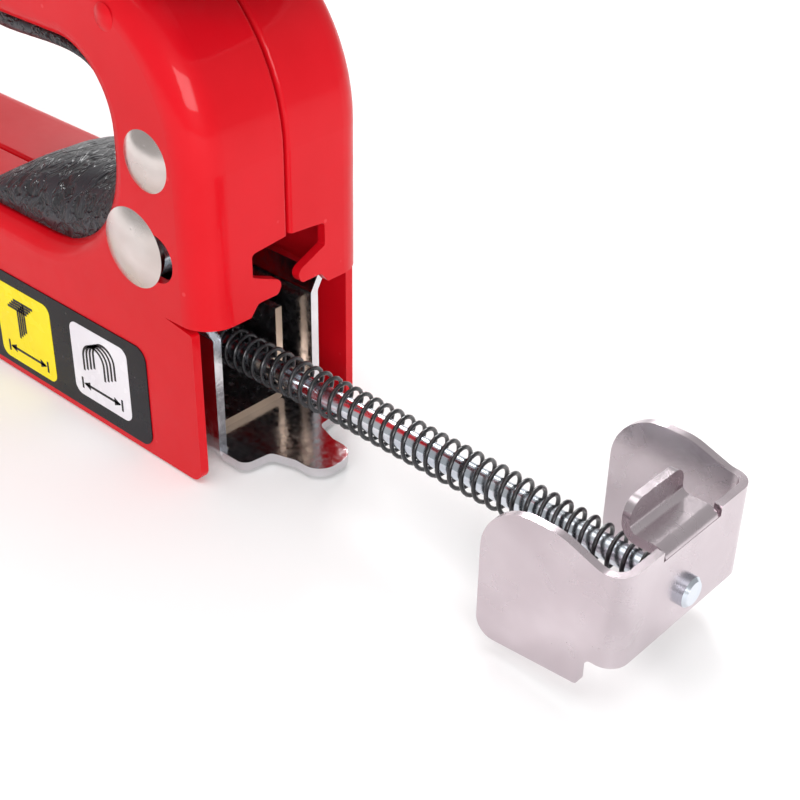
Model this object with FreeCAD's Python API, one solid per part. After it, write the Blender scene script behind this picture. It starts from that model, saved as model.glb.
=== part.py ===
import FreeCAD, Part
import math
import os

# Hand tacker: two pressed shells round a steel magazine, with a spring-driven striker, a squeeze
# lever and a pull-out pusher. Millimetres. +X runs to the rear, where the pusher pulls out, +Y to
# the right seen from behind, +Z up. The sizes below count x from the centre of the staple exit;
# the saved parts have their origin at the middle of the underside, with the pusher pulled out.

V = FreeCAD.Vector
os.makedirs("parts", exist_ok=True)

# ---- driving sizes -------------------------------------------------------------------------
half_width = 11.0          # outside face of each shell from the middle plane
sheet = 1.0                # shell sheet
seam_gap = 0.15            # each shell's edge from the middle plane
seam_round = 0.45          # rolled lip beside the seam
rear_edge = 160.0          # rear edge of the lower side plates
rear_face_out = 2.2        # rear wall stands this far behind the lower plates
tower_top = 88.0           # top of the front tower
tower_rear = 44.0          # rear face of the tower
bar_slope = 10.0           # fall of the hand bar to the rear, degrees
bar_end_height = 51.5      # top of the hand bar where the rear curve starts
back_curve = 18.0          # radius of the rear top curve
edge_round = 3.5           # outer edge of the pressed shells
hole_round = 2.0           # edge of the finger hole
low_bar_top = 19.4         # top of the lower bar
hole_rear = 10.6           # finger hole's rear wall from the plates' rear edge
hole_front = 50.0          # finger hole's front wall
hole_top = 42.2            # underside of the hand bar at the rear
hole_top_front = 49.5      # underside of the hand bar at the front
wall_bottom = 18.0         # lower edge of the rear wall
window_half = 4.85         # latch window in the rear wall
window_low = 22.2
window_high = 24.7
lip_low = 19.2             # latch lips below the window
lip_tip = 0.9
lip_drop = 1.7

channel_inside = 6.25      # half width between the magazine walls
channel_sheet = 1.0
channel_floor = 0.3        # underside of the magazine floor
channel_kink = 14.8        # height where the walls flare
channel_height = 16.8
channel_flare = 1.2
channel_rear_gap = 1.4     # magazine walls stop this far inside the plates
lip_reach = 2.0            # full-width floor behind the plates
tongue_reach = 8.7         # rounded tongue behind the plates
tongue_half = 2.7
rail_half = 4.9            # staple rail, half width outside
rail_sheet = 0.9
rail_height = 12.6
rail_rear_gap = 4.5
magazine_front = 0.9       # magazine starts behind the striker blade

blade_thick = 1.2
blade_half = 5.6
blade_low = 0.4
carrier_low = 26.0         # striker carrier at rest
carrier_high = 46.0
carrier_depth = 15.0
carrier_half = 6.5
bumper_thick = 2.6         # rubber block that stops the carrier
bumper_gap = 0.2
support_places = (28.0, 112.0)
support_length = 16.0      # blocks between the magazine and the shells
support_low = 3.0
support_high = 13.6
nose_thick = 1.2
nose_half = 7.4
nose_height = 54.0
slide_gap = 0.15           # running clearance of sliding sheet parts
drive_wire = 2.0
drive_outer = 14.0
drive_coils = 7
seat_height = 76.0         # underside of the upper spring seat
seat_thick = 2.0
screw_radius = 3.0
screw_low = 64.0           # lower end of the power screw
knob_radius = 8.5
knob_height = 9.0
knob_flutes = 12
flute_radius = 1.1
bush_gap = 0.05            # radial clearance of turning fits

pivot_x = 36.0             # lever pivot
pivot_z = 66.0
pivot_radius = 3.0
pivot_head = 6.0
head_thick = 1.2
lever_sheet = 1.4
lever_gap = 0.4            # lever cheeks from the shells
lever_ear = 9.5            # eye of the lever round its pivot
lever_nose_x = 50.0        # lever's roof starts here
lever_nose_top = 79.5      # top of the roof at its front
lever_tail = 9.0           # lever's tail behind the rear wall
tail_low = 53.2            # lower edge of the tail
tail_top = 66.5            # top of the roof at the tail
tail_plan_round = 8.5      # tail corners seen from above
lever_edge_round = 2.5     # long edges of the roof
cheek_clear = 1.2          # lever's cheeks above the hand bar at the front
arm_half = 2.0             # lifting arm, half thickness
arm_tip_x = 17.5
arm_tip_z = 63.5
arm_pin_x = 56.0
arm_pin_radius = 2.0

rivet_small_x = 5.0        # upper rear rivet, ahead of the plates' rear edge
rivet_small_z = 33.9
rivet_small_head = 3.05
rivet_large_x = 7.9
rivet_large_z = 24.1
rivet_large_head = 4.15
rivet_shank = 2.2
rivet_dome = 0.9
slot_half = 2.5            # relief slot beside the large rivet
slot_reach = 5.8
stop_pin_x = 9.2           # end of the hand bar's cross pin
stop_pin_z = 46.4
stop_pin_radius = 1.0
stop_pin_head = 1.3
stop_pin_dome = 0.35
front_rivets = ((8.0, 20.8), (26.0, 48.0))
bar_rivet = (100.0, 52.0)

grip_half = 9.5            # rubber insert, half width
grip_clear = 0.3
grip_top_thick = 4.2
grip_rear_thick = 0.9
grip_low_thick = 6.2       # crest of the lower pad
grip_toe = 39.0            # toe of the insert ahead of the plates' rear edge

rod_height = 8.6           # pusher rod above the underside
rod_radius = 1.15
rod_front = 48.2           # front end of the rod as pulled out
rod_head = 1.9
rod_head_length = 1.2
rod_rivet = 1.45
cap_out = 49.8             # cap's rear face behind the plates, as pulled out
cap_sheet = 0.8
cap_half = 9.8
cap_low = 5.4
cap_high = 15.0
cap_bend = 2.0
ear_length = 14.5
ear_low = 1.3
ear_high = 16.4
ear_front_round = 5.5
ear_notch = 3.4
tab_half = 3.9
tab_reach = 4.6
tab_top = 17.7
tab_root = 14.0
follower_length = 14.0
follower_gap = 0.35
spring_outer = 2.2
spring_wire = 0.45

label_front = 66.0         # label's front edge
label_rear = 7.5           # label's rear edge ahead of the plates' rear edge
label_low = 0.8
label_high = 12.7
label_thick = 0.12
label_round = 1.6

# ---- sizes that follow ----------------------------------------------------------------------
back_face = rear_edge + rear_face_out
nose_back = -blade_thick / 2 - slide_gap
front_face = nose_back - nose_thick - sheet
inner_half = half_width - sheet
slope = math.tan(math.radians(bar_slope))
curve_end_x = back_face - back_curve * (1 - math.cos(math.radians(90 - bar_slope)))
channel_outside = channel_inside + channel_sheet
floor_top = channel_floor + channel_sheet
rail_floor = floor_top + rail_sheet
magazine_rear = rear_edge - channel_rear_gap
plunger_x = blade_thick / 2 + carrier_depth / 2
cap_rear = rear_edge + cap_out
cap_front = cap_rear - cap_sheet
hole_back = rear_edge - hole_rear
middle_x = (front_face + cap_rear + rivet_dome) / 2


def bar_top(x):
    """Height of the hand bar's straight top at a place along the gun."""
    return bar_end_height + (curve_end_x - x) * slope


# ---- helpers --------------------------------------------------------------------------------
def save(name, shape):
    """Write one sub-part, with the origin moved to the middle of the underside."""
    shape.translated(V(-middle_x, 0, 0)).exportStep("parts/" + name + ".step")
    print(name, len(shape.Solids), round(shape.Volume, 1), shape.isValid())


def block(x0, x1, y0, y1, z0, z1):
    """A box from its low and high corners."""
    return Part.makeBox(x1 - x0, y1 - y0, z1 - z0, V(x0, y0, z0))


def rod(centre, axis, radius, length):
    """A round bar from one end."""
    return Part.makeCylinder(radius, length, V(*centre), V(*axis))


def cross_bar(x, z, radius, half):
    """A round bar right across the gun."""
    return rod((x, -half, z), (0, 1, 0), radius, 2 * half)


def ring(centre, axis, outer, inner, length):
    """A tube from one end."""
    return rod(centre, axis, outer, length).cut(rod(centre, axis, inner, length))


def rounded_face(points, place):
    """A face from corners (a, b, radius), with each corner rounded by a tangent arc."""
    edges = []
    last = None
    first = None
    count = len(points)
    for i in range(count):
        before = V(points[i - 1][0], points[i - 1][1], 0)
        here = V(points[i][0], points[i][1], 0)
        after = V(points[(i + 1) % count][0], points[(i + 1) % count][1], 0)
        radius = points[i][2]
        into = (before - here).normalize()
        out = (after - here).normalize()
        if radius > 0:
            half = into.getAngle(out) / 2
            reach = radius / math.tan(half)
            middle = here + (into + out).normalize() * (radius / math.sin(half) - radius)
            start = here + into * reach
            end = here + out * reach
            arc = Part.Arc(place(start), place(middle), place(end)).toShape()
        else:
            start = here
            end = here
            arc = None
        if last is not None and last.distanceToPoint(start) > 1e-6:
            edges.append(Part.LineSegment(place(last), place(start)).toShape())
        if arc is not None:
            edges.append(arc)
        if first is None:
            first = start
        last = end
    if last.distanceToPoint(first) > 1e-6:
        edges.append(Part.LineSegment(place(last), place(first)).toShape())
    return Part.Face(Part.Wire(edges))


def side_plate(points, y0, y1):
    """A plate whose outline is drawn from the side, between two widths."""
    face = rounded_face(points, lambda p: V(p.x, y0, p.y))
    return face.extrude(V(0, y1 - y0, 0))


def section_bar(points, x0, x1):
    """A bar whose section is drawn from behind, between two lengths."""
    face = rounded_face(points, lambda p: V(x0, p.x, p.y))
    return face.extrude(V(x1 - x0, 0, 0))


def plan_plate(points, z0, z1):
    """A plate whose outline is drawn from above, between two heights."""
    face = rounded_face(points, lambda p: V(p.x, p.y, z0))
    return face.extrude(V(0, 0, z1 - z0))


def joined(first, *others):
    """One solid from touching pieces."""
    return first.fuse(list(others)).removeSplitter()


def edges_at(shape, y):
    """Edges that lie in one upright plane along the gun."""
    box = [(e, e.BoundBox) for e in shape.Edges]
    return [e for e, b in box if abs(b.YMin - y) < 1e-3 and abs(b.YMax - y) < 1e-3]


def mirrored(shape):
    """The other side's copy."""
    return shape.mirror(V(0, 0, 0), V(0, 1, 0))


def coil(x, y, z, axis, radius, wire, turns, length):
    """A round-wire spring about an axis, from its first end."""
    path = Part.makeHelix(length / turns, length, radius)
    start = Part.Wire([Part.Circle(V(radius, 0, 0), V(0, 1, 0), wire / 2).toShape()])
    spring = Part.Wire(path).makePipeShell([start], True, True)
    spring.Placement = FreeCAD.Placement(V(x, y, z), FreeCAD.Rotation(V(0, 0, 1), V(*axis)))
    return spring


# ---- shells ---------------------------------------------------------------------------------
def body_outline(inset):
    """Side outline of the shells, drawn inwards by a sheet for the hollow."""
    back = back_face - inset
    top_end = V(curve_end_x, 0, bar_end_height)
    corner_z = bar_top(back_face) - inset / math.cos(math.radians(bar_slope))
    return [
        (front_face + inset, 0, 0),
        (front_face + inset, tower_top - inset, 7.0 - inset),
        (tower_rear - 8 - inset, tower_top - inset, 9.0 - inset),
        (tower_rear + 6 - inset, bar_top(tower_rear + 6) - inset, 9.0 + inset),
        (top_end.x - 40, bar_top(top_end.x - 40) - inset, 0),
        (back, corner_z, back_curve - inset),
        (back, 0, 0),
    ]


def hole_outline(inset):
    """Side outline of the finger hole, drawn outwards by a sheet for its rolled wall."""
    return [
        (hole_front - inset, low_bar_top - inset, 9.0 + inset),
        (hole_back + inset, low_bar_top - inset, 14.0 + inset),
        (hole_back + inset, hole_top + inset, 7.0 + inset),
        (hole_back - 20, hole_top + inset, 30.0),
        (hole_front - inset, hole_top_front + inset, 9.0 + inset),
    ]


def window_outline():
    """Latch window, its two lips and the mouth below them, for one half, seen from behind."""
    return [
        (-1.0, window_high + 0.5, 0),
        (window_half, window_high, 0.5),
        (window_half, window_low, 0.3),
        (lip_tip, window_low - lip_drop, 0.8),
        (lip_tip + 0.7, lip_low, 0.6),
        (window_half - 0.6, lip_low, 0.7),
        (window_half + 0.4, wall_bottom, 0.5),
        (window_half + 0.4, wall_bottom - 2, 0),
        (-1.0, wall_bottom - 2, 0),
    ]


def hole_rims(edges):
    """The edges round the finger hole."""
    return [e for e in edges if hole_front - 1 < e.BoundBox.XMin and e.BoundBox.XMax < hole_back + 1
            and e.BoundBox.ZMin > low_bar_top - 1 and e.BoundBox.ZMax < hole_top_front + 1]


def make_shell():
    """The right-hand shell; the left one is its mirror."""
    outer = side_plate(body_outline(0), seam_gap, half_width)
    outer = outer.cut(side_plate(hole_outline(0), seam_gap - 1, half_width + 1))
    rims = edges_at(outer, half_width)
    around = hole_rims(rims)
    bottom = [e for e in rims if e.BoundBox.ZMax < 0.01]
    edge = [e for e in rims if not any(e.isSame(o) for o in around + bottom)]
    outer = outer.makeFillet(edge_round, edge)
    outer = outer.makeFillet(hole_round, hole_rims(edges_at(outer, half_width)))
    seam = [e for e in edges_at(outer, seam_gap) if e.BoundBox.ZMax > 0.01]
    outer = outer.makeFillet(seam_round, seam)

    inner = side_plate(body_outline(sheet), -1, inner_half)
    inner = inner.cut(side_plate(hole_outline(sheet), -2, half_width))
    edge = [e for e in edges_at(inner, inner_half) if e.BoundBox.ZMax > 0.01
            and (e.BoundBox.XMin < hole_front - 2 or e.BoundBox.XMax > hole_back + 1.5
                 or e.BoundBox.ZMin > hole_top_front + 1.5)]
    inner = inner.makeFillet(edge_round - sheet, edge)
    shell = outer.cut(inner)

    # the rear wall stops above the magazine; only flat plates go on down
    low = block(rear_edge - 4, back_face + 1, -1, half_width + 1, -1, wall_bottom)
    shell = shell.cut(low)
    plate = side_plate([(rear_edge - 4, 0, 0), (rear_edge - 4, wall_bottom, 0),
                        (rear_edge, wall_bottom - 0.6, 0.4), (rear_edge, 0, 1.5)],
                       inner_half, half_width)
    shell = shell.fuse(plate)
    shell = shell.cut(section_bar(window_outline(), back_face - sheet - 1, back_face + 1))

    # nose plate window, power screw hole and the slot for the lifting arm
    shell = shell.cut(block(front_face - 1, front_face + sheet + 0.2, -1, nose_half + 0.3,
                            -1, low_bar_top + 2))
    shell = shell.cut(rod((plunger_x, 0, tower_top - 5), (0, 0, 1), screw_radius + bush_gap, 8))
    shell = shell.cut(block(tower_rear - 9, tower_rear + 22, -1, arm_half + 0.5,
                            hole_top_front + 8, tower_top - 6))

    # cross holes for rivets, pins and the lever pivot
    holes = [(rear_edge - rivet_small_x, rivet_small_z, rivet_shank),
             (rear_edge - stop_pin_x, stop_pin_z, stop_pin_radius),
             (bar_rivet[0], bar_rivet[1], rivet_shank),
             (pivot_x, pivot_z, pivot_radius)]
    holes += [(x, z, rivet_shank) for x, z in front_rivets]
    for x, z, radius in holes:
        shell = shell.cut(cross_bar(x, z, radius, half_width + 2))
    large_x = rear_edge - rivet_large_x
    slot = joined(block(large_x, large_x + slot_reach - slot_half, 0, half_width + 2,
                        rivet_large_z - slot_half, rivet_large_z + slot_half),
                  cross_bar(large_x, rivet_large_z, slot_half, half_width + 2),
                  cross_bar(large_x + slot_reach - slot_half, rivet_large_z, slot_half,
                            half_width + 2))
    return shell.cut(slot)


# ---- magazine -------------------------------------------------------------------------------
def make_channel():
    """U-shaped magazine with flared walls, a full-width lip and a rounded tongue."""
    out = channel_outside
    top = out + channel_flare
    outer = [(-out, channel_floor, 1.3), (out, channel_floor, 1.3), (out, channel_kink, 0.8),
             (top, channel_height, 0), (top - channel_sheet, channel_height, 0),
             (channel_inside, channel_kink, 0.8), (channel_inside, floor_top, 0.4),
             (-channel_inside, floor_top, 0.4), (-channel_inside, channel_kink, 0.8),
             (channel_sheet - top, channel_height, 0), (-top, channel_height, 0),
             (-out, channel_kink, 0.8)]
    body = section_bar(outer, magazine_front, magazine_rear)
    lip = rear_edge + lip_reach
    end = rear_edge + tongue_reach
    half = channel_outside - 0.3
    floor = plan_plate([(magazine_rear - 3, -half + 1, 0), (magazine_rear, -half, 0.5),
                        (lip, -half, 1.2), (lip + 0.4, -tongue_half - 0.9, 0.8),
                        (lip + 3.2, -tongue_half, 1.6), (end, -tongue_half, 2.2),
                        (end, tongue_half, 2.2), (lip + 3.2, tongue_half, 1.6),
                        (lip + 0.4, tongue_half + 0.9, 0.8), (lip, half, 1.2),
                        (magazine_rear, half, 0.5), (magazine_rear - 3, half - 1, 0)],
                       channel_floor, floor_top)
    return joined(body, floor)


def make_rail():
    """Inner rail that the staples straddle."""
    inside = rail_half - rail_sheet
    points = [(-rail_half, floor_top, 0.8), (rail_half, floor_top, 0.8),
              (rail_half, rail_height, 0), (inside, rail_height, 0), (inside, rail_floor, 0.3),
              (-inside, rail_floor, 0.3), (-inside, rail_height, 0), (-rail_half, rail_height, 0)]
    return section_bar(points, magazine_front + 1, rear_edge - rail_rear_gap)


def make_follower():
    """Pusher block: a saddle over the rail with a guided block that runs on the rod."""
    x0 = rod_front + rod_head_length
    x1 = x0 + follower_length
    inside = rail_half - rail_sheet - follower_gap
    core = block(x0, x1, -inside, inside, rail_floor + follower_gap, channel_kink - 1.2)
    saddle = block(x0, x1, -channel_inside + follower_gap, channel_inside - follower_gap,
                   rail_height + follower_gap, channel_kink - 0.2)
    body = joined(core, saddle)
    upright = [e for e in body.Edges if abs(e.BoundBox.XMin - x0) < 1e-3
               and abs(e.BoundBox.XMax - x0) < 1e-3]
    body = body.makeChamfer(0.4, upright)
    return body.cut(rod((x0 - 1, 0, rod_height), (1, 0, 0), rod_radius + bush_gap,
                        follower_length + 2))


# ---- pusher ---------------------------------------------------------------------------------
def make_cap():
    """Bent end cap with two ears and a hooked latch tab."""
    x_in = cap_rear - ear_length
    half = cap_half
    inner = cap_half - cap_sheet
    plan_u = plan_plate([(x_in, -half, 0), (cap_rear, -half, cap_bend), (cap_rear, half, cap_bend),
                         (x_in, half, 0), (x_in, inner, 0),
                         (cap_front, inner, cap_bend - cap_sheet),
                         (cap_front, -inner, cap_bend - cap_sheet), (x_in, -inner, 0)],
                        0, ear_high + 3)
    ear = cap_rear - ear_notch
    side = side_plate([(x_in, ear_low, 1.8), (ear, ear_low + 0.9, 0.5), (ear, cap_low - 1.2, 0.4),
                       (ear + 0.8, cap_low, 0.5), (cap_rear + 1, cap_low, 0),
                       (cap_rear + 1, cap_high, 0), (ear + 1.0, cap_high, 3.0),
                       (ear - 3.0, ear_high, 6.0), (x_in, ear_high, ear_front_round)],
                      -half - 1, half + 1)
    cap = plan_u.common(side)
    slit = tab_half + 0.35
    cap = cap.cut(block(cap_front - 1, cap_rear + 1, -slit, slit, tab_root, ear_high + 4))
    reach = cap_rear - tab_reach
    hook = side_plate([(cap_rear, tab_root - 0.8, 0), (cap_rear, tab_root + 0.9, 1.2),
                       (reach + cap_sheet, tab_root + 0.9, 0.8),
                       (reach + cap_sheet, tab_top, 0), (reach, tab_top, 0),
                       (reach, tab_root - 0.1, 1.7),
                       (cap_front, tab_root - 0.1, 0.6), (cap_front, tab_root - 0.8, 0)],
                      -tab_half, tab_half)
    hook = hook.common(section_bar([(-tab_half, tab_root - 1, 0), (tab_half, tab_root - 1, 0),
                                    (tab_half, tab_top, 1.6), (-tab_half, tab_top, 1.6)],
                                   reach - 1, cap_rear + 1))
    cap = joined(cap, hook)
    return cap.cut(rod((cap_front - 1, 0, rod_height), (1, 0, 0), rod_radius, cap_sheet + 2))


def make_rod():
    """Pusher rod with a stop head in front and a riveted end behind the cap."""
    front = rod((rod_front, 0, rod_height), (1, 0, 0), rod_head, rod_head_length)
    shank = rod((rod_front, 0, rod_height), (1, 0, 0), rod_radius, cap_rear - rod_front)
    rivet = rod((cap_rear, 0, rod_height), (1, 0, 0), rod_rivet, rivet_dome)
    rivet = rivet.makeChamfer(0.3, [e for e in rivet.Edges
                                    if e.BoundBox.XMin > cap_rear + rivet_dome - 0.01])
    return joined(front, shank, rivet)


# ---- striker and drive ----------------------------------------------------------------------
def make_carrier():
    """Striker carrier, the block between the blade and the drive spring."""
    x0 = blade_thick / 2
    body = block(x0, x0 + carrier_depth, -carrier_half, carrier_half, carrier_low, carrier_high)
    upright = [e for e in body.Edges if e.BoundBox.ZLength > 5]
    return body.makeFillet(1.0, upright)


def make_knob():
    """Fluted power knob on the screw."""
    base = tower_top + 0.4
    knob = rod((plunger_x, 0, base), (0, 0, 1), knob_radius, knob_height)
    knob = knob.makeFillet(1.2, [e for e in knob.Edges if e.BoundBox.ZMin > base + 1
                                 and e.BoundBox.ZLength < 0.01])
    for i in range(knob_flutes):
        turn = 2 * math.pi * i / knob_flutes
        place = (plunger_x + knob_radius * math.cos(turn), knob_radius * math.sin(turn), base - 1)
        knob = knob.cut(rod(place, (0, 0, 1), flute_radius, knob_height + 2))
    return knob.cut(rod((plunger_x, 0, base - 1), (0, 0, 1), screw_radius, knob_height - 2))


# ---- lever ----------------------------------------------------------------------------------
def roof_top(x):
    """Height of the lever's straight roof at a place along the gun."""
    fall = (lever_nose_top - tail_top) / (back_face + lever_tail - lever_nose_x)
    return lever_nose_top - (x - lever_nose_x) * fall


def lever_body(inset, half, front):
    """The lever as one block, drawn inwards by a sheet for the hollow; front is its eye or wall."""
    tail = back_face + lever_tail - inset
    drop = 8 if inset else 0
    low = bar_top(lever_nose_x + 10) + cheek_clear
    outline = front + [(lever_nose_x + 10 + inset, low - drop, 0 if inset else 5.0),
                       (curve_end_x, tail_low - 0.6 - drop, 0), (tail, tail_low - drop, 0),
                       (tail, roof_top(tail) - inset, 6.0 - inset),
                       (lever_nose_x + inset, roof_top(lever_nose_x) - inset,
                        5.0 if inset else 14.0)]
    round_out = tail_plan_round - inset
    plan = plan_plate([(0, -half, 0), (tail, -half, round_out), (tail, half, round_out),
                       (0, half, 0)], 0, tower_top + 20)
    body = side_plate(outline, -half, half).common(plan)
    top = roof_top(curve_end_x) - inset
    long_edges = [e for e in body.Edges if e.BoundBox.XLength > 60 and e.BoundBox.YLength < 1e-3
                  and e.BoundBox.ZMin > top - 4]
    return body.makeFillet(lever_edge_round - inset, long_edges)


def make_lever():
    """Squeeze lever: an inverted channel with two eyes round the pivot."""
    half_out = half_width + lever_gap + lever_sheet
    half_in = half_width + lever_gap
    low = bar_top(lever_nose_x + 10) + cheek_clear
    ear = lever_ear - 0.3
    eye = [(pivot_x - lever_ear, pivot_z + lever_ear, ear),
           (pivot_x - lever_ear, pivot_z - lever_ear, ear),
           (pivot_x + lever_ear, pivot_z - lever_ear, ear)]
    wall = [(lever_nose_x + lever_sheet, low - 10, 0)]
    body = lever_body(0, half_out, eye).cut(lever_body(lever_sheet, half_in, wall))
    body = body.cut(block(pivot_x - lever_ear - 1, lever_nose_x, -half_in, half_in,
                          pivot_z - lever_ear - 1, lever_nose_top + 1))
    wall_low = bar_top(lever_nose_x) + cheek_clear
    body = body.cut(block(lever_nose_x - 1, lever_nose_x + lever_sheet + 1, -half_in, half_in,
                          pivot_z - lever_ear - 1, wall_low))
    slot = arm_half + lever_gap
    body = body.cut(block(lever_nose_x - 1, lever_nose_x + lever_sheet + 1, -slot, slot,
                          low - 12, arm_pin_z() + 5.5))
    body = body.cut(cross_bar(pivot_x, pivot_z, pivot_radius + bush_gap, half_out + 1))
    return body.cut(cross_bar(arm_pin_x, arm_pin_z(), arm_pin_radius, half_out + 1))


def arm_pin_z():
    """The arm's cross pin runs clear above the hand bar."""
    return bar_top(arm_pin_x) + arm_pin_radius + 1.6


def make_arm():
    """Lifting arm from the lever's cross pin, round the pivot, to the striker carrier."""
    z = arm_pin_z()
    arm = side_plate([(arm_tip_x, arm_tip_z - 3, 1.5), (pivot_x - 2, pivot_z - 7, 5.0),
                      (pivot_x + 7, pivot_z - 3, 5.0), (arm_pin_x + 5, z - 4, 3.5),
                      (arm_pin_x + 4, z + 4, 3.5), (pivot_x + 3, pivot_z + 7.5, 6.0),
                      (pivot_x - 8, pivot_z + 5, 5.0), (arm_tip_x, arm_tip_z + 2, 1.5)],
                     -arm_half, arm_half)
    arm = arm.cut(cross_bar(pivot_x, pivot_z, pivot_radius + bush_gap, arm_half + 1))
    return arm.cut(cross_bar(arm_pin_x, z, arm_pin_radius, arm_half + 1))


# ---- fasteners ------------------------------------------------------------------------------
def domed_head(x, z, side, face, radius, thick):
    """A shallow domed rivet head standing on one side face."""
    bulge = (radius * radius + thick * thick) / (2 * thick)
    ball = Part.makeSphere(bulge, V(x, side * (face + thick - bulge), z))
    disc = rod((x, side * face, z), (0, side, 0), radius, thick + 1)
    return disc.common(ball)


def make_rivet(x, z, shank, head, face=half_width, thick=rivet_dome):
    """A through rivet with a domed head on each side."""
    body = cross_bar(x, z, shank, face)
    return joined(body, domed_head(x, z, 1, face, head, thick),
                  domed_head(x, z, -1, face, head, thick))


def make_spacer(x, z, shank):
    """Tube round a rivet that holds the shells apart."""
    return ring((x, -inner_half, z), (0, 1, 0), shank + 1.3, shank, 2 * inner_half)


# ---- rubber insert --------------------------------------------------------------------------
def make_grip():
    """C-shaped rubber lining: along the hand bar's underside, down the rear and a toe below."""
    c = grip_clear
    low = low_bar_top + c
    back = hole_back - c
    top = hole_top - c
    front = hole_front + 14
    rise = (hole_top_front - hole_top) / (hole_back - 20 - hole_front)
    top_front = hole_top + (hole_back - 20 - front) * rise - c
    toe = rear_edge - grip_toe
    inner_back = back - grip_rear_thick
    return side_plate([(toe, low, 0.3), (back, low, 13.6), (back, top, 6.6),
                       (hole_back - 20, top, 30.0), (front, top_front, 1.5),
                       (front + 3, top_front - grip_top_thick, 2.5),
                       (hole_back - 22, top - grip_top_thick + 0.6, 30.0),
                       (inner_back, top - 2 * grip_rear_thick, 5.0),
                       (inner_back, low + 9.5, 5.0), (hole_back - 14, low + grip_low_thick, 14.0),
                       (toe + 4.5, low + grip_low_thick / 2, 4.0)], -grip_half, grip_half)


# ---- labels ---------------------------------------------------------------------------------
def make_label(side):
    """Thin printed label on the outside of one shell."""
    y0, y1 = sorted((side * half_width, side * (half_width + label_thick)))
    rear = rear_edge - label_rear
    return side_plate([(label_front, label_low, label_round), (rear, label_low, label_round),
                       (rear, label_high, label_round), (label_front, label_high, label_round)],
                      y0, y1)


# ---- build ----------------------------------------------------------------------------------
right_shell = make_shell()
save("right_shell", right_shell)
save("left_shell", mirrored(right_shell))
save("magazine_channel", make_channel())
save("staple_rail", make_rail())
save("follower", make_follower())
save("end_cap", make_cap())
save("pusher_rod", make_rod())
spring_front = rod_front + rod_head_length + follower_length
save("pusher_spring", ring((spring_front, 0, rod_height), (1, 0, 0), spring_outer,
                           spring_outer - spring_wire, cap_front - spring_front))

save("striker_blade", block(-blade_thick / 2, blade_thick / 2, -blade_half, blade_half,
                            blade_low, carrier_high))
save("striker_carrier", make_carrier())
bumper_top = carrier_low - bumper_gap
save("striker_bumper", block(1.6, blade_thick / 2 + carrier_depth, 0.4 - carrier_half,
                             carrier_half - 0.4, bumper_top - bumper_thick, bumper_top))
supports = []
for x0 in support_places:
    pad = block(x0, x0 + support_length, channel_outside, inner_half, support_low, support_high)
    supports += [pad, mirrored(pad)]
save("magazine_supports", Part.makeCompound(supports))
save("nose_plate", block(nose_back - nose_thick, nose_back, -nose_half, nose_half,
                         0, nose_height))
save("drive_spring", coil(plunger_x, 0, carrier_high + drive_wire / 2, (0, 0, 1),
                          drive_outer / 2 - drive_wire / 2, drive_wire, drive_coils,
                          seat_height - carrier_high - drive_wire))
save("spring_seat", ring((plunger_x, 0, seat_height), (0, 0, 1), drive_outer / 2,
                         screw_radius + bush_gap, seat_thick))
save("power_screw", rod((plunger_x, 0, screw_low), (0, 0, 1), screw_radius,
                        tower_top + knob_height - 2.6 - screw_low))
save("power_knob", make_knob())

save("lever", make_lever())
save("lifting_arm", make_arm())
save("arm_pin", cross_bar(arm_pin_x, arm_pin_z(), arm_pin_radius,
                          half_width + lever_gap + lever_sheet))
pivot_face = half_width + lever_gap + lever_sheet
save("lever_pivot", make_rivet(pivot_x, pivot_z, pivot_radius, pivot_head,
                               pivot_face + 0.1, head_thick))

small = (rear_edge - rivet_small_x, rivet_small_z)
large = (rear_edge - rivet_large_x, rivet_large_z)
save("upper_rear_rivet", make_rivet(*small, rivet_shank, rivet_small_head))
save("lower_rear_rivet", make_rivet(*large, rivet_shank, rivet_large_head))
save("upper_rear_spacer", make_spacer(*small, rivet_shank))
save("lower_rear_spacer", make_spacer(*large, rivet_shank))
for name, place in zip(("front_lower", "front_upper"), front_rivets):
    save(name + "_rivet", make_rivet(*place, rivet_shank, rivet_small_head))
save("front_upper_spacer", make_spacer(*front_rivets[1], rivet_shank))
save("hand_bar_rivet", make_rivet(*bar_rivet, rivet_shank, rivet_small_head))
save("hand_bar_spacer", make_spacer(*bar_rivet, rivet_shank))
save("stop_pin", make_rivet(rear_edge - stop_pin_x, stop_pin_z, stop_pin_radius,
                            stop_pin_head, half_width, stop_pin_dome))
save("grip_insert", make_grip())
save("left_label", make_label(-1))
save("right_label", make_label(1))
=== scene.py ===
import math

import bmesh
import bpy
from mathutils import Matrix, Vector, noise


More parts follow.
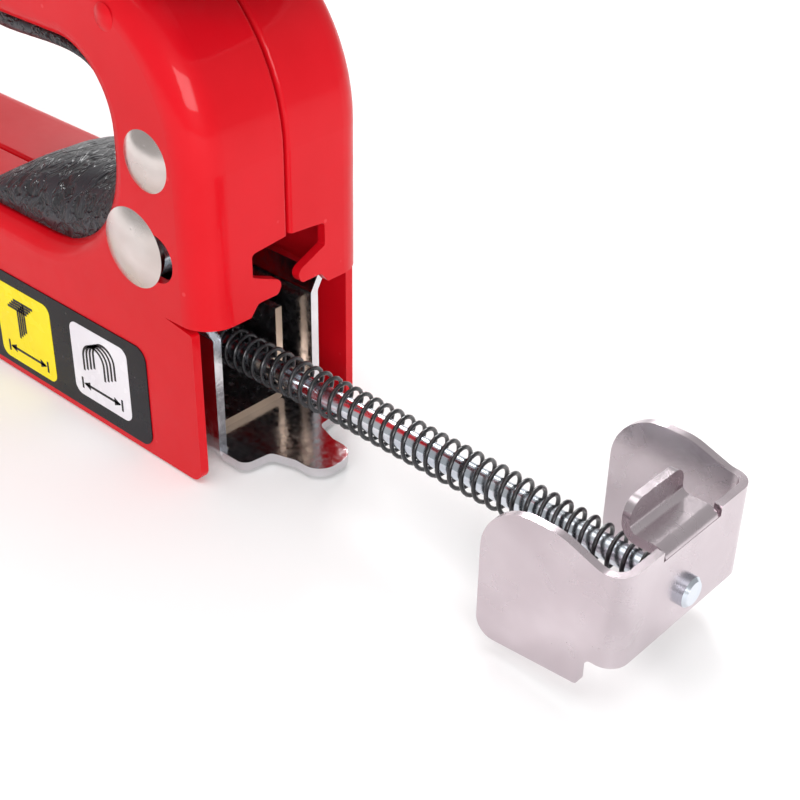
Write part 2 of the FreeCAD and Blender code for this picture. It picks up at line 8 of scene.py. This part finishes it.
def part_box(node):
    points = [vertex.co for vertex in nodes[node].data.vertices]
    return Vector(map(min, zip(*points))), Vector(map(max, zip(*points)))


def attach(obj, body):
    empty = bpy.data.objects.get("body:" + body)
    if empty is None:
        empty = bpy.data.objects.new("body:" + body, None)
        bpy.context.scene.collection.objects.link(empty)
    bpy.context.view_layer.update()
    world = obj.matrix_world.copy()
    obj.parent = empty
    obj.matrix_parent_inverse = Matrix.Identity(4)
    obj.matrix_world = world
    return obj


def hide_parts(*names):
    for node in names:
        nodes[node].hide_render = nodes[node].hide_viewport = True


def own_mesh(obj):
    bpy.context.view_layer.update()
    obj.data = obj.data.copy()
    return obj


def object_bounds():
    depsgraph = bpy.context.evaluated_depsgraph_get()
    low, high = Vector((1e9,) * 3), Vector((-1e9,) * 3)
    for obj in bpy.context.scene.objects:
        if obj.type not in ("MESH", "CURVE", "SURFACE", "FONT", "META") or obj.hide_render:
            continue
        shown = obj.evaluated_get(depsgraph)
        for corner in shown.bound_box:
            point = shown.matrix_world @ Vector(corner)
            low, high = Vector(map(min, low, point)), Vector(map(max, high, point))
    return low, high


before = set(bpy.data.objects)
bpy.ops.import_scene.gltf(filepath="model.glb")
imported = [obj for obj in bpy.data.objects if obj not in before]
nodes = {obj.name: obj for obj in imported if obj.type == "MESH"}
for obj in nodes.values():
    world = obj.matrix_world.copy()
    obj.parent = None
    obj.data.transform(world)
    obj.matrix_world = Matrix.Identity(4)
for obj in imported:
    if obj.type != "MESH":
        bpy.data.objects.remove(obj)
cad_low, cad_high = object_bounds()
MM = 0.001
blade_low, blade_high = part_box("striker_blade")
exit_x = (blade_low.x + blade_high.x) / 2


def spot(x, y, z):
    """A point in the frame from millimetres counted from the centre of the staple exit."""
    return Vector((exit_x + x * MM, y * MM, z * MM))


# ---- camera ---------------------------------------------------------------------------------
def make_camera(place, forward, roll, lens):
    """A level camera looking along a direction, then rolled about it by a few degrees."""
    ahead = Vector(forward).normalized()
    level = ahead.cross(Vector((0, 0, 1))).normalized()
    turn = Matrix.Rotation(math.radians(-roll), 3, ahead)
    right = turn @ level
    up = right.cross(ahead)
    basis = Matrix((right, up, -ahead)).transposed().to_4x4()
    camera = bpy.data.objects.new("camera", bpy.data.cameras.new("camera"))
    camera.matrix_world = Matrix.Translation(place) @ basis
    camera.data.sensor_width = 36.0
    camera.data.lens = lens
    camera.data.clip_start = 0.01
    bpy.context.collection.objects.link(camera)
    bpy.context.scene.camera = camera


make_camera(spot(256.02, -87.68, 89.81), (-0.5606, 0.6221, -0.5465), 1.09, 66.56)
bpy.context.scene.view_settings.view_transform = "Standard"


# ---- node helpers ---------------------------------------------------------------------------
class Shader:
    """A node material built up in short steps."""

    def __init__(self, name):
        self.material = bpy.data.materials.new(name)
        self.material.use_nodes = True
        self.tree = self.material.node_tree
        self.principled = self.tree.nodes["Principled BSDF"]
        self.coords = self.tree.nodes.new("ShaderNodeTexCoord")

    def link(self, source, target):
        self.tree.links.new(source, target)

    def set(self, **values):
        for name, value in values.items():
            self.principled.inputs[name.replace("_", " ")].default_value = value

    def place(self, scale):
        """Object coordinates, stretched per axis."""
        mapping = self.tree.nodes.new("ShaderNodeMapping")
        mapping.inputs["Scale"].default_value = scale
        self.link(self.coords.outputs["Object"], mapping.inputs["Vector"])
        return mapping.outputs["Vector"]

    def noise(self, scale, detail=3.0, stretch=(1, 1, 1), distortion=0.0):
        node = self.tree.nodes.new("ShaderNodeTexNoise")
        node.inputs["Scale"].default_value = scale
        node.inputs["Detail"].default_value = detail
        node.inputs["Distortion"].default_value = distortion
        self.link(self.place(stretch), node.inputs["Vector"])
        return node.outputs["Fac"]

    def cells(self, scale):
        """Distance to the nearest of scattered points."""
        node = self.tree.nodes.new("ShaderNodeTexVoronoi")
        node.inputs["Scale"].default_value = scale
        self.link(self.place((1, 1, 1)), node.inputs["Vector"])
        return node.outputs["Distance"]

    def span(self, source, low, high, to_low=0.0, to_high=1.0):
        """Remap a value smoothly and clamp it."""
        node = self.tree.nodes.new("ShaderNodeMapRange")
        node.interpolation_type = "SMOOTHSTEP"
        node.inputs["From Min"].default_value = low
        node.inputs["From Max"].default_value = high
        node.inputs["To Min"].default_value = to_low
        node.inputs["To Max"].default_value = to_high
        self.link(source, node.inputs["Value"])
        return node.outputs["Result"]

    def math(self, operation, first, second):
        node = self.tree.nodes.new("ShaderNodeMath")
        node.operation = operation
        for socket, value in zip(node.inputs, (first, second)):
            if isinstance(value, (int, float)):
                socket.default_value = value
            else:
                self.link(value, socket)
        return node.outputs["Value"]

    def mix(self, share, first, second):
        node = self.tree.nodes.new("ShaderNodeMix")
        node.data_type = "RGBA"
        self.link(share, node.inputs["Factor"])
        for name, value in (("A", first), ("B", second)):
            socket = next(s for s in node.inputs if s.name == name and s.type == "RGBA")
            if isinstance(value, tuple):
                socket.default_value = (*value, 1.0)
            else:
                self.link(value, socket)
        return next(s for s in node.outputs if s.type == "RGBA")

    def colour(self, source):
        self.link(source, self.principled.inputs["Base Color"])

    def roughness(self, source):
        self.link(source, self.principled.inputs["Roughness"])

    def bump(self, *layers):
        """Stack bumps, each (height, depth in metres, strength)."""
        last = None
        for height, depth, strength in layers:
            node = self.tree.nodes.new("ShaderNodeBump")
            node.inputs["Distance"].default_value = depth
            node.inputs["Strength"].default_value = strength
            self.link(height, node.inputs["Height"])
            if last is not None:
                self.link(last, node.inputs["Normal"])
            last = node.outputs["Normal"]
        self.link(last, self.principled.inputs["Normal"])

    def axis(self, name, kind="Object"):
        """One coordinate of the place or of the surface's direction."""
        node = self.tree.nodes.new("ShaderNodeSeparateXYZ")
        self.link(self.coords.outputs[kind], node.inputs["Vector"])
        return node.outputs[name]


def enamel():
    """Glossy red stove enamel with slight orange peel and a few specks of dust under it."""
    s = Shader("red_enamel")
    s.set(Coat_Weight=0.24, Coat_Roughness=0.05, Coat_IOR=1.5, Specular_IOR_Level=0.08)
    cloud = s.noise(70, 3)
    speck = s.span(s.cells(260), 0.035, 0.075, 1.0, 0.0)
    tone = s.mix(s.span(cloud, 0.3, 0.7), (0.62, 0.003, 0.009), (0.67, 0.005, 0.013))
    s.colour(s.mix(s.math("MULTIPLY", speck, 0.25), tone, (0.86, 0.13, 0.14)))
    s.roughness(s.span(s.noise(420, 2), 0.3, 0.7, 0.30, 0.40))
    s.bump((s.noise(330, 2), 0.00022, 0.10), (speck, 0.00005, 0.35))
    return s.material


def plated(name, low, high, rough, scratch=0.25, pits=0.0, streak=(1, 1, 1), wave=0.12):
    """Plated metal: a cloudy tone, fine drawn lines, small pits and a slow waviness."""
    s = Shader(name)
    s.set(Metallic=1.0)
    cloud = s.noise(120, 4)
    s.colour(s.mix(s.span(cloud, 0.32, 0.68), low, high))
    lines = s.noise(900, 4, streak)
    s.roughness(s.span(s.noise(260, 5, distortion=0.6), 0.3, 0.75, rough[0], rough[1]))
    layers = [(s.noise(90, 2), 0.0006, wave), (lines, 0.00004, scratch)]
    if pits:
        layers.append((s.span(s.cells(700), 0.02, 0.12), 0.00003, pits))
    s.bump(*layers)
    return s.material


def chrome():
    """Bright chrome on drawn sheet, with a grainy etched look on its broad faces."""
    s = Shader("chrome_plate")
    s.set(Metallic=1.0)
    s.colour(s.mix(s.span(s.noise(160, 4), 0.35, 0.7), (0.60, 0.58, 0.60), (0.80, 0.79, 0.81)))
    s.roughness(s.span(s.noise(1500, 4), 0.3, 0.7, 0.10, 0.26))
    s.bump((s.noise(140, 2), 0.0007, 0.14), (s.noise(2600, 3), 0.00003, 0.35),
           (s.noise(700, 4, (1, 1, 0.06)), 0.00004, 0.3))
    return s.material


def rail_steel():
    """Sliding rail: dark plate worn by the staples, with a tan sheared end."""
    s = Shader("rail_plate")
    s.set(Metallic=1.0)
    plate = s.mix(s.span(s.noise(200, 4), 0.35, 0.7), (0.46, 0.45, 0.46), (0.66, 0.65, 0.66))
    sheared = s.span(s.axis("X", "Normal"), 0.6, 0.95)
    s.colour(s.mix(sheared, plate, (0.60, 0.47, 0.36)))
    s.roughness(s.math("ADD", s.span(s.noise(900, 4), 0.3, 0.7, 0.16, 0.30),
                       s.math("MULTIPLY", sheared, 0.25)))
    s.bump((s.noise(1200, 4, (0.05, 1, 1)), 0.00004, 0.4), (s.noise(160, 2), 0.0005, 0.12))
    return s.material


def oxide():
    """Black-oxide spring wire, oily, with draw marks round the wire."""
    s = Shader("black_oxide")
    s.set(Metallic=0.35, Coat_Weight=0.5, Coat_Roughness=0.18, Specular_IOR_Level=0.6)
    s.colour(s.mix(s.span(s.noise(900, 3), 0.4, 0.75), (0.006, 0.006, 0.008),
                   (0.030, 0.030, 0.036)))
    s.roughness(s.span(s.noise(1500, 3), 0.3, 0.7, 0.24, 0.40))
    s.bump((s.noise(3200, 3), 0.00002, 0.4),)
    return s.material


def rubber():
    """Black grip rubber with a leather-like pattern of short wrinkles across the bar; its colour
    is painted lighter on the ridges and darker in the valleys as painted highlight and shade.
    """
    s = Shader("grip_rubber")
    s.set(Specular_IOR_Level=0.62)
    wrinkle = s.noise(760, 2, (1.0, 0.36, 1.0), distortion=1.1)
    # wrinkle height, used for the real relief in the bump and for the painted highlight and shade
    # in the colour
    ridge_and_painted_light = s.span(wrinkle, 0.36, 0.60)
    fine = s.noise(2600, 3)
    # painted highlight and shade: the ridges get a lighter purple-grey, the valleys between them
    # a darker black
    s.colour(s.mix(ridge_and_painted_light, (0.006, 0.006, 0.009), (0.022, 0.021, 0.028)))
    s.roughness(s.span(fine, 0.3, 0.7, 0.36, 0.50))
    s.bump((ridge_and_painted_light, 0.00034, 0.9), (fine, 0.00005, 0.5))
    return s.material


def moulded(name, low, high, rough=(0.32, 0.46)):
    """Moulded plastic with a fine spark-eroded grain."""
    s = Shader(name)
    s.set(Specular_IOR_Level=0.5)
    s.colour(s.mix(s.span(s.noise(90, 3), 0.3, 0.7), low, high))
    s.roughness(s.span(s.noise(1300, 3), 0.3, 0.7, *rough))
    s.bump((s.noise(2100, 3), 0.00004, 0.6), (s.noise(200, 2), 0.0003, 0.08))
    return s.material


def printed(name, low, high, rough=(0.16, 0.30)):
    """Printed film under a clear gloss layer, with tiny scuffs."""
    s = Shader(name)
    s.set(Coat_Weight=0.12, Coat_Roughness=0.08, Specular_IOR_Level=0.12)
    scuff = s.span(s.cells(420), 0.02, 0.06, 1.0, 0.0)
    base = s.mix(s.span(s.noise(150, 3), 0.3, 0.7), low, high)
    s.colour(s.mix(s.math("MULTIPLY", scuff, 0.18), base, (0.35, 0.36, 0.36)))
    s.roughness(s.span(s.noise(600, 3), 0.3, 0.7, *rough))
    s.bump((s.noise(520, 2), 0.00012, 0.08), (scuff, 0.00002, 0.3))
    return s.material


RED = enamel()
NICKEL = plated("nickel_plate", (0.53, 0.46, 0.49), (0.62, 0.55, 0.58), (0.22, 0.30),
                pits=0.2, wave=0.04)
RIVET = plated("rivet_nickel", (0.58, 0.51, 0.48), (0.76, 0.70, 0.68), (0.18, 0.30),
               pits=0.4, wave=0.06)
CHROME = chrome()
RAIL = rail_steel()
ZINC = plated("zinc_plate", (0.58, 0.63, 0.70), (0.72, 0.75, 0.80), (0.14, 0.26),
              streak=(0.05, 1, 1))
STEEL = plated("bright_steel", (0.42, 0.41, 0.40), (0.56, 0.55, 0.54), (0.26, 0.40),
               streak=(1, 1, 0.05))
OXIDE = oxide()
RUBBER = rubber()
KNOB = moulded("knob_plastic", (0.012, 0.012, 0.013), (0.022, 0.022, 0.023))
BLACK = printed("label_black", (0.006, 0.006, 0.008), (0.013, 0.012, 0.016))
YELLOW = printed("label_yellow", (0.93, 0.74, 0.008), (0.97, 0.80, 0.012))
WHITE = printed("label_white", (0.80, 0.77, 0.82), (0.86, 0.84, 0.88))
INK = printed("label_ink", (0.010, 0.009, 0.012), (0.018, 0.016, 0.020))

FINISHES = (
    (RED, ("right_shell", "left_shell", "stop_pin")),
    (NICKEL, ("end_cap", "lever", "nose_plate")),
    (RIVET, ("upper_rear_rivet", "lower_rear_rivet", "front_lower_rivet", "front_upper_rivet",
             "hand_bar_rivet", "lever_pivot", "arm_pin")),
    (CHROME, ("magazine_channel",)),
    (RAIL, ("staple_rail",)),
    (ZINC, ("pusher_rod", "power_screw", "upper_rear_spacer", "lower_rear_spacer",
            "front_upper_spacer", "hand_bar_spacer", "spring_seat")),
    (STEEL, ("follower", "striker_blade", "striker_carrier", "lifting_arm")),
    (OXIDE, ("pusher_spring", "drive_spring")),
    (RUBBER, ("grip_insert", "striker_bumper")),
    (KNOB, ("power_knob", "magazine_supports")),
    (BLACK, ("left_label", "right_label")),
)
for finish, names in FINISHES:
    for name in names:
        for place in nodes[name].material_slots:
            place.material = finish


# ---- mesh helpers ---------------------------------------------------------------------------
def make_piece(name, points, faces, material, body="frame"):
    """A smooth-shaded piece in the frame's place, riding a body."""
    mesh = bpy.data.meshes.new(name)
    mesh.from_pydata(points, [], faces)
    mesh.validate()
    mesh.materials.append(material)
    for face in mesh.polygons:
        face.use_smooth = True
    piece = bpy.data.objects.new(name, mesh)
    bpy.context.collection.objects.link(piece)
    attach(piece, body)
    return piece


def strip_faces(rows, around, closed):
    """Quads between consecutive rows of points, closed round each row or left open."""
    faces = []
    for i in range(rows - 1):
        for j in range(around if closed else around - 1):
            k = (j + 1) % around
            faces.append((i * around + j, i * around + k,
                          (i + 1) * around + k, (i + 1) * around + j))
    return faces


def tube(points, radius, sides=8):
    """Points and faces of a round wire along a smooth path, with flat ends."""
    rings = []
    normal = None
    for i, here in enumerate(points):
        ahead = (points[min(i + 1, len(points) - 1)] - points[max(i - 1, 0)]).normalized()
        if normal is None:
            normal = ahead.orthogonal().normalized()
        normal = (normal - ahead * normal.dot(ahead)).normalized()
        other = ahead.cross(normal)
        for j in range(sides):
            turn = 2 * math.pi * j / sides
            rings.append(here + radius * (normal * math.cos(turn) + other * math.sin(turn)))
    faces = strip_faces(len(points), sides, True)
    faces.append(tuple(reversed(range(sides))))
    last = (len(points) - 1) * sides
    faces.append(tuple(range(last, last + sides)))
    return rings, faces


def pusher_spring():
    """Follower spring: closed turns at each end, a pitch that opens to the rear, a slight sag."""
    low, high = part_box("pusher_spring")
    wire = 0.45 * MM / 2            # radius of the wire
    radius = (high.z - low.z) / 2 - wire
    middle = (high.z + low.z) / 2
    start = low.x + wire
    end = high.x - wire
    front_pitch = 1.22
    rear_opening = 0.35             # how much wider the pitch is at the rear
    closed_pitch = 2.1 * wire
    dead_turns = 1.5
    sag = 0.40 * MM
    droop = 0.1 * MM
    unevenness = 0.05 * MM
    step = 2 * math.pi / 22
    path = []
    x = start
    turn = 0.0
    while x < end:
        share = (x - start) / (end - start)
        open_pitch = (front_pitch + rear_opening * share ** 2) * MM
        ends = min((x - start), (end - x)) / (dead_turns * 2 * wire)
        pitch = open_pitch if ends > 1 else closed_pitch
        sway = sag * math.sin(math.pi * (1.15 * share ** 3 + 0.02))
        wobble = unevenness * math.sin(share * 37.0)
        path.append(Vector((x, radius * math.cos(turn) + wobble,
                            middle + sway - droop + radius * math.sin(turn))))
        x += pitch * step / (2 * math.pi)
        turn += step
    points, faces = tube(path, wire, 8)
    piece = make_piece("pusher_spring_wire", points, faces, OXIDE, "pusher")
    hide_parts("pusher_spring")
    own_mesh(piece)


def drive_spring():
    """Heavy striker spring in two pieces: the lower coils towards the striker and the upper ones
    towards the seat, both fixed to the frame.
    """
    low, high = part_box("drive_spring")
    wire = 1.0 * MM                 # radius of the wire
    radius = (high.y - low.y) / 2 - wire
    centre = (low + high) / 2
    turns = 7.0
    upper_length = 9 * MM           # the upper part, next to the seat
    total = int(turns * 36)
    path = []
    for i in range(total + 1):
        share = i / total
        eased = share - 0.32 * math.sin(4 * math.pi * share) / (4 * math.pi)
        turn = 2 * math.pi * turns * share
        path.append(Vector((centre.x + radius * math.cos(turn), radius * math.sin(turn),
                            low.z + wire + (high.z - low.z - 2 * wire) * eased)))
    split = next(i for i, here in enumerate(path) if here.z > high.z - upper_length)
    level = path[split].z
    for word, part, joint, length in (
            ("lower", path[:split + 1], "striker_slide", level - low.z),
            ("upper", path[split:], "seat_slide", high.z - level)):
        points, faces = tube(part, wire, 12)
        piece = make_piece("drive_spring_" + word, points, faces, OXIDE, "frame")
        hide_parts("drive_spring")
        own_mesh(piece)


pusher_spring()
drive_spring()


# ---- grip -----------------------------------------------------------------------------------
def smooth_path(corners, count):
    """Evenly spaced points along a smooth curve through the corners."""
    curve = bpy.data.curves.new("path", "CURVE")
    spline = curve.splines.new("NURBS")
    spline.points.add(len(corners) - 1)
    for point, corner in zip(spline.points, corners):
        point.co = (*corner, 1.0)
    spline.order_u = 3
    spline.use_endpoint_u = True
    curve.resolution_u = 24
    curve.dimensions = "3D"
    carrier = bpy.data.objects.new("path", curve)
    mesh = bpy.data.meshes.new_from_object(carrier)
    line = [v.co.copy() for v in mesh.vertices]
    bpy.data.meshes.remove(mesh)
    bpy.data.objects.remove(carrier)
    bpy.data.curves.remove(curve)
    lengths = [0.0]
    for a, b in zip(line, line[1:]):
        lengths.append(lengths[-1] + (b - a).length)
    points = []
    at = 0
    for i in range(count):
        want = lengths[-1] * i / (count - 1)
        while at < len(line) - 2 and lengths[at + 1] < want:
            at += 1
        span = lengths[at + 1] - lengths[at]
        points.append(line[at].lerp(line[at + 1], (want - lengths[at]) / span))
    return points


def grip():
    """Rubber lining of the finger hole: flat against the shells, domed towards the fingers."""
    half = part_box("grip_insert")[1].y
    across = 33
    rows = 260
    seat = smooth_path([spot(x, 0, z) for x, z in (
        (121.2, 19.8), (128, 19.8), (138, 19.8), (145.5, 20.8), (148.8, 26), (149, 33),
        (148.6, 39.8), (143.5, 41.7), (134, 41.9), (122, 42.6), (104, 44.2), (84, 46.1),
        (66, 47.6), (64.6, 45.5))], rows)
    crest = smooth_path([spot(x, 0, z) for x, z in (
        (121.2, 19.95), (124.4, 22.2), (128.6, 24.2), (134.5, 25.6), (141, 26.6), (146.4, 28.6),
        (148, 32), (147.9, 37), (145.5, 39.6), (140, 40.0), (134, 39.0), (128, 38.5),
        (116, 39.5), (98, 41.2), (80, 42.9), (67.5, 44), (64.6, 45.5))], rows)
    points = []
    for i in range(rows):
        for j in range(across):
            side = 2 * j / (across - 1) - 1
            dome = max(0.0, 1 - abs(side) ** 2.6) ** 0.62
            rise = 0.30 + 0.70 * dome
            place = seat[i].lerp(crest[i], rise if 0 < i < rows - 1 else 0.5)
            y = side * half * (1 - 0.025 * (1 - dome))
            dent = noise.noise(Vector((place.x * 900, y * 320, place.z * 900)))
            out = (crest[i] - seat[i])
            if out.length > 0.0008:
                place = place + out.normalized() * dent * 0.00006
            points.append(Vector((place.x, y, place.z)))
    for i in range(rows):
        for side in (-1, 1):
            points.append(Vector((seat[i].x, side * half * 0.975, seat[i].z)))
    faces = strip_faces(rows, across, False)
    base = rows * across
    for i in range(rows - 1):
        a, b = base + 2 * i, base + 2 * i + 2
        left, right = i * across, i * across + across - 1
        up_left, up_right = left + across, right + across
        faces.append((a, left, up_left, b))
        faces.append((right, a + 1, b + 1, up_right))
        faces.append((a + 1, a, b, b + 1))
    for row in (0, rows - 1):
        ring = list(range(row * across, (row + 1) * across))
        rim = ring + [base + 2 * row + 1, base + 2 * row]
        faces.append(tuple(rim if row else reversed(rim)))
    piece = make_piece("grip_pad", points, faces, RUBBER, "frame")
    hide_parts("grip_insert")
    mesh = bmesh.new()
    mesh.from_mesh(piece.data)
    bmesh.ops.recalc_face_normals(mesh, faces=mesh.faces)
    mesh.to_mesh(piece.data)
    mesh.free()


grip()


# ---- label pictograms -----------------------------------------------------------------------
def rounded_square(x0, x1, z0, z1, radius):
    """Outline of a rounded rectangle in the side view."""
    outline = []
    for cx, cz, start in ((x1 - radius, z1 - radius, 0), (x0 + radius, z1 - radius, 90),
                          (x0 + radius, z0 + radius, 180), (x1 - radius, z0 + radius, 270)):
        for k in range(9):
            turn = math.radians(start + 90 * k / 8)
            outline.append((cx + radius * math.cos(turn), cz + radius * math.sin(turn)))
    return outline


def stroke(path, width):
    """Outline of a line of even width along a path in the side view."""
    left, right = [], []
    for i, here in enumerate(path):
        before, after = path[max(i - 1, 0)], path[min(i + 1, len(path) - 1)]
        dx, dz = after[0] - before[0], after[1] - before[1]
        long = math.hypot(dx, dz)
        nx, nz = -dz / long * width / 2, dx / long * width / 2
        left.append((here[0] + nx, here[1] + nz))
        right.append((here[0] - nx, here[1] - nz))
    return left, right


def film_piece(name, shapes, side, inner, outer, material):
    """Thin printed shapes between two depths outside one label."""
    points, faces = [], []
    for shape in shapes:
        start = len(points)
        if isinstance(shape, tuple):
            left, right = shape
            count = len(left)
            ring = left + right[::-1]
        else:
            ring = shape
            count = 0
        size = len(ring)
        for depth in (inner, outer):
            points.extend(spot(x, side * depth / MM, z) for x, z in ring)
        for i in range(size):
            k = (i + 1) % size
            faces.append((start + i, start + k, start + size + k, start + size + i))
        if count:
            for i in range(count - 1):
                faces.append((start + i, start + i + 1,
                              start + size - 2 - i, start + size - 1 - i))
                faces.append((start + size + i, start + size + i + 1,
                              start + 2 * size - 2 - i, start + 2 * size - 1 - i))
        else:
            faces.append(tuple(range(start, start + size)))
            faces.append(tuple(range(start + size, start + 2 * size)))
    piece = make_piece(name, points, faces, material, "frame")
    mesh = bmesh.new()
    mesh.from_mesh(piece.data)
    bmesh.ops.recalc_face_normals(mesh, faces=mesh.faces)
    mesh.to_mesh(piece.data)
    mesh.free()
    for face in piece.data.polygons:
        face.use_smooth = False


def tee_row(x, z):
    """A strip of T nails, each nail behind and above the last."""
    shapes = []
    for k in range(4):
        sx, sz = x + 0.40 * k, z + 0.36 * k
        shapes.append(stroke([(sx - 1.75, sz), (sx + 1.75, sz)], 0.30))
        shapes.append(stroke([(sx, sz), (sx, sz - 3.6)], 0.30))
    return shapes


def arch_row(x, z, half, leg, flat):
    """A strip of U staples with round or flat crowns."""
    shapes = []
    for k in range(4):
        sx, sz = x + 0.60 * k, z + 0.30 * k
        if flat:
            path = [(sx - half, sz - leg), (sx - half, sz - 0.2), (sx - half + 0.2, sz),
                    (sx + half - 0.2, sz), (sx + half, sz - 0.2), (sx + half, sz - leg)]
        else:
            path = [(sx - half, sz - leg)]
            for i in range(25):
                turn = math.pi * (1 - i / 24)
                path.append((sx + half * math.cos(turn), sz - half + half * math.sin(turn)))
            path.append((sx + half, sz - leg))
        shapes.append(stroke(path, 0.30))
    return shapes


def size_mark(x, z, half):
    """A plain dimension arrow in place of the size text."""
    shapes = [stroke([(x - half, z), (x + half, z)], 0.30)]
    for sign in (-1, 1):
        tip = x + sign * half
        shapes.append([(tip + sign * 0.25, z), (tip - sign * 0.85, z + 0.50),
                       (tip - sign * 0.85, z - 0.50)])
        shapes.append(stroke([(tip + sign * 0.45, z - 0.7), (tip + sign * 0.45, z + 0.7)], 0.28))
    return shapes


def label_prints():
    """Staple pictograms on rounded squares, the same on both labels."""
    for side, word in ((-1, "left"), (1, "right")):
        low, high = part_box(word + "_label")
        face = max(abs(low.y), abs(high.y))
        paper, ink = face + 0.00004, face + 0.00007
        squares = ((139.9, 149.4, 2.5, 11.4, WHITE), (126.3, 136.3, 1.6, 11.3, YELLOW),
                   (112.6, 122.6, 1.6, 11.3, WHITE), (98.9, 108.9, 1.6, 11.3, YELLOW))
        for i, (x0, x1, z0, z1, paint) in enumerate(squares):
            film_piece(f"{word}_square_{i + 1}", [rounded_square(x0, x1, z0, z1, 1.1)],
                       side, face - 0.00001, paper, paint)
        inks = (arch_row(143.6, 9.4, 1.75, 3.5, False) + size_mark(144.6, 4.1, 2.9),
                tee_row(130.2, 8.6) + size_mark(131.3, 3.2, 3.1),
                arch_row(116.3, 9.2, 1.9, 3.6, True) + size_mark(117.6, 3.2, 3.1),
                arch_row(102.6, 9.2, 2.3, 2.6, True) + size_mark(103.9, 3.2, 3.1))
        for i, shapes in enumerate(inks):
            film_piece(f"{word}_pictogram_{i + 1}", shapes, side, paper - 0.00001, ink, INK)


label_prints()


# ---- floor and light ------------------------------------------------------------------------
def floor_material():
    """Matt white card with a faint fibre."""
    s = Shader("floor_card")
    s.set(Specular_IOR_Level=0.1)
    s.colour(s.mix(s.span(s.noise(30, 3), 0.3, 0.7), (0.95, 0.95, 0.95), (0.97, 0.97, 0.97)))
    s.roughness(s.span(s.noise(300, 3), 0.3, 0.7, 0.7, 0.8))
    s.bump((s.noise(1500, 3), 0.00002, 0.2),)
    return s.material


def make_floor():
    """One wide pale floor under the object."""
    size = 6.0
    level = min(cad_low.z, 0.0) - 0.0002
    mesh = bpy.data.meshes.new("floor")
    mesh.from_pydata([(-size, -size, level), (size, -size, level),
                      (size, size, level), (-size, size, level)], [], [(0, 1, 2, 3)])
    mesh.materials.append(floor_material())
    floor = bpy.data.objects.new("floor", mesh)
    bpy.context.collection.objects.link(floor)


def soft_box(name, place, target, width, height, watts):
    """A rectangular soft light aimed at a point."""
    light = bpy.data.lights.new(name, "AREA")
    light.shape = "RECTANGLE"
    light.size, light.size_y = width, height
    light.energy = watts
    lamp = bpy.data.objects.new(name, light)
    lamp.location = place
    aim = Vector(target) - Vector(place)
    lamp.rotation_mode = "QUATERNION"
    lamp.rotation_quaternion = aim.to_track_quat("-Z", "Y")
    bpy.context.collection.objects.link(lamp)


make_floor()
middle = (cad_low + cad_high) / 2
soft_box("key", (0.80, -0.50, 0.42), middle, 0.55, 0.35, 5.5)
soft_box("far_window", (-0.55, 0.62, 0.56), middle, 0.32, 0.30, 5.4)
soft_box("top", (0.05, -0.10, 0.95), middle, 0.9, 0.9, 4.5)

world = bpy.data.worlds.new("studio")
bpy.context.scene.world = world
world.use_nodes = True
world.node_tree.nodes["Background"].inputs["Color"].default_value = (1.0, 1.0, 1.0, 1.0)
world.node_tree.nodes["Background"].inputs["Strength"].default_value = 0.52
